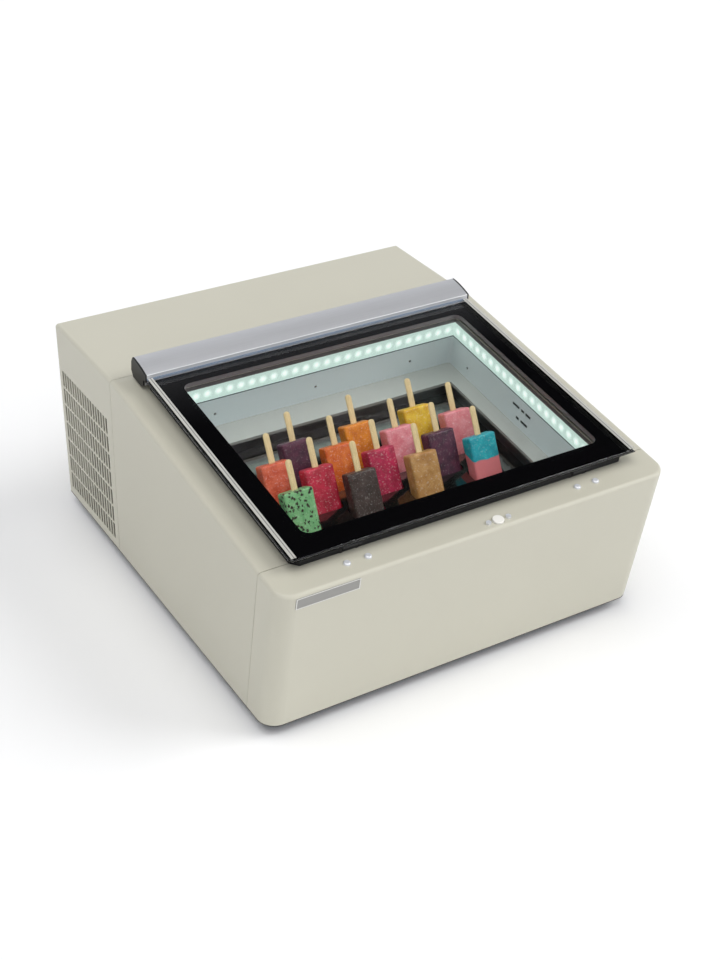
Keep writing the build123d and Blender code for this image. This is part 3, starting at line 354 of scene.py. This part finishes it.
rail_out, rail_near, rail_far, rail_foot = 264.5, 38.8, 448.0, 23.2
for side, side_name in ((-1, "left"), (1, "right")):
    section = [(0.0, 0.0), (0.0, 0.55), (0.3, 0.8), (3.4, 0.8), (3.5, 0.2), (4.3, 0.2), (4.4, 0.8),
               (6.7, 0.8), (7.0, 0.55), (7.0, 0.0)]
    insert = [(3.55, 0.22), (3.55, 0.5), (4.25, 0.5), (4.25, 0.22)]
    for part, outline, material, slot in (("rail", section, rail_metal, "silver_aluminium"),
                                          ("rail_insert", insert, black_plastic, "black_plastic")):
        rings = []
        for s in (rail_near, rail_far):
            rings.append([on_deck(side * (rail_out - across), s, rail_foot + up) for across, up in outline])
        name = f"side_{part}_{side_name}"
        stands_for = ("side_rails",) if name == "side_rail_left" else ()
        add_piece(name, swept(name, rings), material, "lid", 25, stands_for)

# A ribbed blue-grey strip lies along the front face of the handle, and a rounded bead along each
# of its two upper edges, coloured near white as a painted highlight line.
handle_x, strip_ribs, strip_pitch, strip_top = 265.2, 3, 1.4, 23.4
strip_tint = moulded("grip_strip", "#7D90A6", 0.35)
strip_outline = [(448.9, strip_top + 0.4)]
for rib in range(strip_ribs):
    rib_top = strip_top - rib * strip_pitch
    strip_outline += [(448.2, rib_top - 0.2), (448.2, rib_top - 0.8), (448.7, rib_top - 1.2)]
strip_outline.append((448.6, 19.0))
rings = [[on_deck(x, s, n) for s, n in strip_outline] for x in (-handle_x, handle_x)]
add_piece("grip_strip", swept("grip_strip", rings), strip_tint, "lid", 25)
bead_radius = 0.65
# The beads' near-white colour is a painted highlight along the handle's edges.
bead_highlight_metal = drawn_metal("bead_painted_highlight", "#F2F3F4", 0.3, lines_along_x, metallic=0.2)
for name, bead_s, bead_n in (("handle_front_bead", 449.6, 28.8), ("handle_rear_bead", 491.4, 32.4)):
    round_bead = [(bead_s + bead_radius * math.cos(k * math.pi / 4),
                   bead_n + bead_radius * math.sin(k * math.pi / 4)) for k in range(8)]
    rings = [[on_deck(x, s, n) for s, n in round_bead] for x in (-handle_x, handle_x)]
    add_piece(name, swept(name, rings), bead_highlight_metal, "lid", 60)

# ---------------------------------------------------------------- screws, button and nameplate
# Bright domed screws and a cream push button on the deck, and a small blank plate with a
# raised rim on the front panel.
put_on(drawn_metal("screw_zinc", "#E4E6EA", 0.3, (1.0, 1.0, 1.0), metallic=0.35), "deck_screws",
       "button_screws")
put_on(powder_coat("button_enamel", "#EFEDE6", 0.3), "light_button")
plate_metal = drawn_metal("plate_metal", "#969592", 0.35, lines_along_x, metallic=0.5)
put_on(plate_metal, "nameplate")
panel_lean, panel_height = 39.7, 232.5
lean = panel_lean / panel_height
face_up = Vector((0, -lean, 1)).normalized()
face_out = Vector((0, -1, -lean)).normalized()
left, right, low, high = -276.6, -186.4, -23.4, -5.7
rim_wide, rim_foot, rim_top = 1.3, 0.4, 0.62
rim_rings = []
plate_corners = ((left, low, 1, 1), (right, low, -1, 1), (right, high, -1, -1), (left, high, 1, -1))
for x, up, in_x, in_up in plate_corners:
    ring = []
    for share, out in ((0, rim_foot), (0, rim_top), (1, rim_top), (1, rim_foot)):
        ring.append(deck_start + (Vector((x + in_x * share * rim_wide, 0, 0)) + face_out * out
                                  + face_up * (up + in_up * share * rim_wide)) / 1000)
    rim_rings.append(ring)
rim_metal = drawn_metal("plate_rim_metal", "#DCDBD6", 0.3, lines_along_x, metallic=0.3)
add_piece("plate_rim", swept("plate_rim", rim_rings, closed_path=True), rim_metal, "cabinet")

# ---------------------------------------------------------------- light strips
# Frosted lens bars lit from behind: an even mint-white glow with a soft bright spot in front
# of each LED.
led_pitch, spot_radius, side_strip_x = 0.0177, 0.0088, 0.2419
lens_glow, tree, shader = new_material("lit_lens", Roughness=0.3)
shader.inputs["Base Color"].default_value = rgb("#7F8B87")
place = add_node(tree, "ShaderNodeTexCoord", {})
split = add_node(tree, "ShaderNodeSeparateXYZ", {"Vector": place.outputs["Object"]})
side_s = add_node(tree, "ShaderNodeVectorMath", {0: place.outputs["Object"], 1: along_s},
                  operation="DOT_PRODUCT")
side_n = add_node(tree, "ShaderNodeVectorMath", {0: place.outputs["Object"], 1: along_n},
                  operation="DOT_PRODUCT")
strip_middle = on_deck(0, 251.5, -20.2)
beyond = add_node(tree, "ShaderNodeMath", {0: split.outputs["X"]}, operation="ABSOLUTE")
on_side = add_node(tree, "ShaderNodeMath", {0: beyond.outputs[0], 1: side_strip_x},
                   operation="GREATER_THAN")
side_place = add_node(tree, "ShaderNodeMath", {0: side_s.outputs["Value"], 1: strip_middle.dot(along_s)},
                      operation="SUBTRACT")
run = add_node(tree, "ShaderNodeMix", {0: on_side.outputs[0], 2: split.outputs["X"],
                                       3: side_place.outputs[0]}, data_type="FLOAT")
shifted = add_node(tree, "ShaderNodeMath", {0: run.outputs[0], 1: led_pitch / 2}, operation="ADD")
wrapped = add_node(tree, "ShaderNodeMath", {0: shifted.outputs[0], 1: led_pitch, 2: 0.0}, operation="WRAP")
off_run = add_node(tree, "ShaderNodeMath", {0: wrapped.outputs[0], 1: led_pitch / 2}, operation="SUBTRACT")
off_rise = add_node(tree, "ShaderNodeMath", {0: side_n.outputs["Value"], 1: strip_middle.dot(along_n)},
                    operation="SUBTRACT")
apart = add_node(tree, "ShaderNodeCombineXYZ", {"X": off_run.outputs[0], "Y": off_rise.outputs[0]})
distance = add_node(tree, "ShaderNodeVectorMath", {0: apart.outputs["Vector"]}, operation="LENGTH")
spot = add_node(tree, "ShaderNodeMapRange", {"Value": distance.outputs["Value"], "From Min": 0.0,
                                             "From Max": spot_radius, "To Min": 1.0, "To Max": 0.0},
                interpolation_type="SMOOTHSTEP")
glow = add_node(tree, "ShaderNodeMix", {"Factor": spot.outputs["Result"], "A": rgb("#AEC6BD"),
                                        "B": rgb("#EEFCF6")}, data_type="RGBA")
tree.links.new(glow.outputs[2], shader.inputs["Emission Color"])
shader.inputs["Emission Strength"].default_value = 1.2
put_on(lens_glow, "led_lenses")

# ---------------------------------------------------------------- well
# Pale blue-grey painted liner, a steel shelf whose pale, half-matt colour is a painted reflection,
# a dark polished rack plate and a satin steel tub.
put_on(powder_coat("liner_paint", "#CDD6D8", 0.35), "well_liner")

# The strips' light in the well comes from a soft lamp that the eye does not see.
well_light = bpy.data.lights.new("well_light", "AREA")
well_light.shape = "RECTANGLE"
well_light.size, well_light.size_y = 0.46, 0.34
well_light.energy = 0.27
well_light.color = rgb("#EEFFFA")[:3]
well_lamp = bpy.data.objects.new("well_light", well_light)
scene.collection.objects.link(well_lamp)
facing_down = along_n.to_track_quat("Z", "Y").to_matrix().to_4x4()
well_lamp.matrix_world = Matrix.Translation(on_deck(0, 251, -6)) @ facing_down
well_lamp.visible_camera = False
well_lamp.visible_glossy = False
well_lamp.visible_transmission = False

put_on(drawn_metal("polished_steel", "#8B8785", 0.10, lines_along_x, 1.5, 0.003), "rack_plate")
# The shelf's pale, half-matt colour is a painted reflection, not the steel's own tone.
put_on(drawn_metal("shelf_steel_painted_reflection", "#CDCDC8", 0.22, lines_along_x, metallic=0.45), "steel_ledge")
put_on(drawn_metal("satin_steel", "#77787A", 0.3, lines_along_x), "display_tub", "rack_rails")

# A thin dark strip along the foot of the light strips is painted shade in the gap under the lenses,
# and five short printed marks lie on the right wall.
ink_and_gap_shade = moulded("mark_ink_and_gap_shade", "#2A2E30", 0.5)
# The strip fills the gap between lens foot and liner with dark ink: painted shade.
joint_x, joint_near, joint_far, joint_wide, joint_top, joint_foot = 241.4, 66.0, 438.4, 0.5, -31.9, -33.1
joint_section = ((0, joint_top), (joint_wide, joint_top), (joint_wide, joint_foot), (0, joint_foot))
joint_rings = []
for side, s in ((-1, joint_near), (-1, joint_far), (1, joint_far), (1, joint_near)):
    at_rear = 1 if s == joint_far else 0
    joint_rings.append([on_deck(side * (joint_x - across), s - across * at_rear, n)
                        for across, n in joint_section])
add_piece("lens_gap_shade", swept("lens_gap_shade", joint_rings), ink_and_gap_shade, "cabinet")


def flat_plate(name, corners, thick, outward):
    """A thin plate with softened edges on four corners, standing out by thick."""
    middle = sum(corners, Vector()) / len(corners)
    rings = [corners, [c + outward * thick * 0.6 for c in corners],
             [middle + (c - middle) * 0.94 + outward * thick for c in corners]]
    return swept(name, rings)


mark_number = 0
mark_high, mark_thick, wall_x = 4, 0.0003, 239.9
for s, length, foot_n in ((228, 12, -50), (244, 7, -50), (256, 16, -50), (232, 16, -68), (253, 7, -68)):
    mark_number += 1
    corners = [on_deck(wall_x, s, foot_n), on_deck(wall_x, s + length, foot_n),
               on_deck(wall_x, s + length, foot_n + mark_high), on_deck(wall_x, s, foot_n + mark_high)]
    name = f"fill_mark_{mark_number}"
    add_piece(name, flat_plate(name, corners, mark_thick, Vector((-1, 0, 0))), ink_and_gap_shade, "cabinet")


def dome(name, centre, axis, radius, height, material, body):
    """A domed rivet or screw head of revolution."""
    turn_to = axis.to_track_quat("Z", "Y").to_matrix()
    rings = []
    for share in (0.0, 0.3, 0.6, 0.8, 0.93, 0.999):
        angle = share * math.pi / 2
        ring_r, up = radius * math.cos(angle), height * math.sin(angle)
        ring = []
        for k in range(20):
            a = 2 * math.pi * k / 20
            ring.append(centre + turn_to @ Vector((ring_r * math.cos(a), ring_r * math.sin(a), up)))
        rings.append(ring)
    return add_piece(name, swept(name, rings), material, body, 50)


rivet_metal = drawn_metal("rivet_metal", "#A9ABAD", 0.25, (1, 1, 1))
rivet_number = 0
rivet_radius, rivet_high = 0.0022, 0.0009
for x in (-165.0, 0.0, 165.0):
    rivet_number += 1
    dome(f"liner_rivet_{rivet_number}", on_deck(x, 437.0, -58), -along_s, rivet_radius, rivet_high,
         rivet_metal, "cabinet")
for s in (120.0, 390.0):
    for side in (-1, 1):
        rivet_number += 1
        dome(f"liner_rivet_{rivet_number}", on_deck(side * 240.0, s, -62), Vector((-side, 0, 0)),
             rivet_radius, rivet_high, rivet_metal, "cabinet")


# ---------------------------------------------------------------- ice pops
# Moulded ice cream and fruit ice on birch sticks: blocks with soft edges, a slightly pitted,
# frosted skin, and a colour for each flavour.
def frozen(name, code, deep_code, frost=0.25, wet=0.25):
    """Frozen dessert: mottled colour, light frost and a damp sheen."""
    material, tree, shader = new_material(name, Roughness=0.42, Subsurface_Weight=0.12,
                                          Subsurface_Scale=0.004, Coat_Weight=wet, Coat_Roughness=0.25)
    place = add_node(tree, "ShaderNodeTexCoord", {})
    mottle = add_node(tree, "ShaderNodeTexNoise", {"Vector": place.outputs["Object"], "Scale": 90.0,
                                                   "Detail": 4.0})
    crystals = add_node(tree, "ShaderNodeTexNoise", {"Vector": place.outputs["Object"], "Scale": 420.0,
                                                     "Detail": 2.0})
    blend = add_node(tree, "ShaderNodeMapRange", {"Value": mottle.outputs["Fac"], "From Min": 0.35,
                                                  "From Max": 0.65})
    body = add_node(tree, "ShaderNodeMix", {"Factor": blend.outputs["Result"], "A": rgb(deep_code),
                                            "B": rgb(code)}, data_type="RGBA")
    icy = add_node(tree, "ShaderNodeMapRange", {"Value": crystals.outputs["Fac"], "From Min": 0.58,
                                                "From Max": 0.75, "To Max": frost})
    frosted = add_node(tree, "ShaderNodeMix", {"Factor": icy.outputs["Result"], "A": body.outputs[2],
                                               "B": rgb("#F4EFEA")}, data_type="RGBA")
    relief = add_node(tree, "ShaderNodeBump", {"Height": crystals.outputs["Fac"], "Distance": 0.0006,
                                               "Strength": 0.7})
    tree.links.new(frosted.outputs[2], shader.inputs["Base Color"])
    tree.links.new(relief.outputs["Normal"], shader.inputs["Normal"])
    return material, tree, shader, place, frosted


def with_chips(material, tree, shader, place, frosted):
    """Adds dark chocolate chips a few millimetres across."""
    ragged = add_node(tree, "ShaderNodeTexNoise", {"Vector": place.outputs["Object"], "Scale": 500.0})
    spread = add_node(tree, "ShaderNodeVectorMath", {0: ragged.outputs["Color"], 1: (0.005, 0.005, 0.005),
                                                     2: place.outputs["Object"]}, operation="MULTIPLY_ADD")
    cells = add_node(tree, "ShaderNodeTexVoronoi", {"Vector": spread.outputs["Vector"], "Scale": 185.0,
                                                    "Randomness": 1.0})
    chip = add_node(tree, "ShaderNodeMapRange", {"Value": cells.outputs["Distance"], "From Min": 0.36,
                                                 "From Max": 0.44, "To Min": 1.0, "To Max": 0.0})
    some = add_node(tree, "ShaderNodeSeparateColor", {"Color": cells.outputs["Color"]})
    chosen = add_node(tree, "ShaderNodeMath", {0: some.outputs[0], 1: 0.8}, operation="LESS_THAN")
    amount = add_node(tree, "ShaderNodeMath", {0: chip.outputs["Result"], 1: chosen.outputs[0]},
                      operation="MULTIPLY")
    speckled = add_node(tree, "ShaderNodeMix", {"Factor": amount.outputs[0], "A": frosted.outputs[2],
                                                "B": rgb("#2A1815")}, data_type="RGBA")
    tree.links.new(speckled.outputs[2], shader.inputs["Base Color"])
    return material


def two_tone(material, tree, shader, place, frosted, code, join_n):
    """Gives the part of the pop below a level of the deck frame a second colour."""
    height = add_node(tree, "ShaderNodeVectorMath", {0: place.outputs["Object"], 1: along_n},
                      operation="DOT_PRODUCT")
    waver = add_node(tree, "ShaderNodeTexNoise", {"Vector": place.outputs["Object"], "Scale": 60.0})
    lifted = add_node(tree, "ShaderNodeMath", {0: waver.outputs["Fac"], 1: 0.006,
                                               2: height.outputs["Value"]}, operation="MULTIPLY_ADD")
    join = on_deck(0, 0, join_n).dot(along_n) + 0.003
    share = add_node(tree, "ShaderNodeMapRange", {"Value": lifted.outputs[0], "From Min": join - 0.0008,
                                                  "From Max": join + 0.0008})
    dipped = add_node(tree, "ShaderNodeMix", {"Factor": share.outputs["Result"], "A": rgb(code),
                                              "B": frosted.outputs[2]}, data_type="RGBA")
    tree.links.new(dipped.outputs[2], shader.inputs["Base Color"])
    return material


flavours = {
    "mint": with_chips(*frozen("mint_ice_cream", "#7FB37D", "#659E65")),
    "chocolate": frozen("chocolate_ice_cream", "#453430", "#2F201A", 0.2)[0],
    "caramel": frozen("caramel_ice_cream", "#B98A50", "#9D6C34", 0.3)[0],
    "turquoise": two_tone(*frozen("turquoise_ice", "#1AA6B1", "#0A8797"), "#D87579", -80),
    "crimson": frozen("crimson_ice", "#C11C3D", "#980022", 0.35)[0],
    "magenta": frozen("magenta_ice", "#BB1848", "#910332", 0.35)[0],
    "plum": frozen("plum_ice", "#55223B", "#3A142B", 0.15)[0],
    "coral": frozen("coral_ice", "#D56243", "#BB4426", 0.3)[0],
    "orange": frozen("orange_ice", "#D87021", "#C34F06", 0.3)[0],
    "rose": frozen("rose_ice", "#DB8C94", "#CE6B77", 0.35)[0],
    "peach": frozen("peach_ice", "#DF8C91", "#D5717A", 0.35)[0],
    "amber": frozen("amber_ice", "#D98110", "#C06400", 0.3)[0],
    "lemon": frozen("lemon_ice", "#E1BB35", "#CE9D0D", 0.3)[0],
}
pop_flavours = ["mint", "chocolate", "caramel", "turquoise", "crimson", "magenta", "plum", "coral", "orange",
                "rose", "peach", "plum", "amber", "lemon"]

pop_high, pop_wide, pop_thick, edge_round = 92.0, 46.0, 23.0, 3.6
pop_lean = math.radians(34.25)
pop_up = along_s * math.sin(pop_lean) + along_n * math.cos(pop_lean)
pop_out = along_s * math.cos(pop_lean) - along_n * math.sin(pop_lean)
stick_wide, stick_thick, stick_shows, stick_sunk = 9.0, 2.4, 42.0, 12.0


def pop_mesh(name, centre, seed):
    """A rounded block with a slight taper, wavy faces and small pits."""
    block = bmesh.new()
    bmesh.ops.create_cube(block, size=1.0)
    for vertex in block.verts:
        vertex.co = Vector((vertex.co.x * pop_wide, vertex.co.y * pop_thick, vertex.co.z * pop_high))
    bmesh.ops.bevel(block, geom=list(block.edges), offset=edge_round, segments=5, affect="EDGES",
                    profile=0.5)
    longest = [e for e in block.edges if e.calc_length() > 12]
    bmesh.ops.subdivide_edges(block, edges=longest, cuts=22, use_grid_fill=True)
    bmesh.ops.triangulate(block, faces=[f for f in block.faces if len(f.verts) > 4])
    offset = Vector((seed * 7.3, seed * 3.1, seed * 1.7))
    block.normal_update()
    moves = []
    for vertex in block.verts:
        wave = noise.noise(vertex.co * 0.06 + offset) * 0.5
        pits = noise.noise(vertex.co * 0.45 + offset) * 0.22
        moves.append(vertex.normal * (wave + pits - 0.5))
    for vertex, move in zip(block.verts, moves):
        taper = 1 - 0.03 * (0.5 - vertex.co.z / pop_high)
        vertex.co += move
        vertex.co.x *= taper
        turned = Vector((1, 0, 0)) * vertex.co.x + pop_out * vertex.co.y + pop_up * vertex.co.z
        vertex.co = centre + turned / 1000
    mesh = bpy.data.meshes.new(name)
    block.to_mesh(mesh)
    block.free()
    return mesh


def stick_mesh(name, foot):
    """A flat birch stick with a round upper end and softened edges."""
    top = stick_shows - stick_wide / 2
    loop = []
    for k in range(13):
        angle = math.pi * k / 12
        loop.append((math.cos(angle) * stick_wide / 2, top + math.sin(angle) * stick_wide / 2))
    loop += [(x, -stick_sunk) for x in (-stick_wide / 2, stick_wide / 2)]
    rings = []
    middle = (top - stick_sunk) / 2
    for depth_share, shrink in ((-1.0, 0.9), (-0.7, 1.0), (0.7, 1.0), (1.0, 0.9)):
        ring = []
        for x, up in loop:
            across = x * shrink
            rise = middle + (up - middle) * (1 - (1 - shrink) * 0.15)
            ring.append(foot + (Vector((across, 0, 0)) + pop_out * (depth_share * stick_thick / 2)
                                + pop_up * rise) / 1000)
        rings.append(ring)
    return swept(name, rings)


birch, tree, shader = new_material("birch_stick", Roughness=0.6)
place = add_node(tree, "ShaderNodeTexCoord", {})
stretched = add_node(tree, "ShaderNodeMapping", {"Vector": place.outputs["Object"],
                                                 "Scale": (1.0, 0.12, 0.12)})
fibre = add_node(tree, "ShaderNodeTexNoise", {"Vector": stretched.outputs["Vector"], "Scale": 700.0,
                                              "Detail": 3.0})
wood = add_node(tree, "ShaderNodeMix", {"Factor": fibre.outputs["Fac"], "A": rgb("#B8986A"),
                                        "B": rgb("#EAD3A4")}, data_type="RGBA")
relief = add_node(tree, "ShaderNodeBump", {"Height": fibre.outputs["Fac"], "Distance": 0.0002})
tree.links.new(wood.outputs[2], shader.inputs["Base Color"])
tree.links.new(relief.outputs["Normal"], shader.inputs["Normal"])

pop_places = []
for row, first_x, count in ((0, -145.5, 4), (1, -95.5, 3), (2, -145.5, 4), (3, -95.5, 3)):
    for column in range(count):
        pop_places.append((first_x + column * 100.0, 227.6 + row * 32.2))
for number, (x, s) in enumerate(pop_places, start=1):
    flavour = pop_flavours[number - 1]
    top_edge = on_deck(x, s, -49.6)
    top_middle = top_edge + pop_out * (pop_thick / 2 / 1000)
    centre = top_middle - pop_up * (pop_high / 2 / 1000)
    name = f"ice_pop_{number:02d}_{flavour}"
    add_piece(name, pop_mesh(name, centre, number), flavours[flavour], "cabinet", 80,
              (f"ice_pop_{number:02d}",))
    name = f"stick_{number:02d}"
    add_piece(name, stick_mesh(name, top_middle), birch, "cabinet", 40,
              ("pop_sticks",) if number == 1 else ())

# ---------------------------------------------------------------- machine room
# Copper pipes and coil, fins painted dark grey as shade, and a cast fan motor. They sit behind the air
# slots, where little light reaches them.
put_on(drawn_metal("copper_tube", "#B8735A", 0.3, (1, 1, 1)), "evaporator_coil", "refrigerant_pipes")
# The fins' dark grey is painted shade for the dim space behind the air slots.
put_on(drawn_metal("fin_aluminium", "#3C3D3E", 0.45, (1, 1, 0.05)), "condenser")
put_on(drawn_metal("cast_aluminium", "#8E9194", 0.5, (1, 1, 1)), "fan_motor")
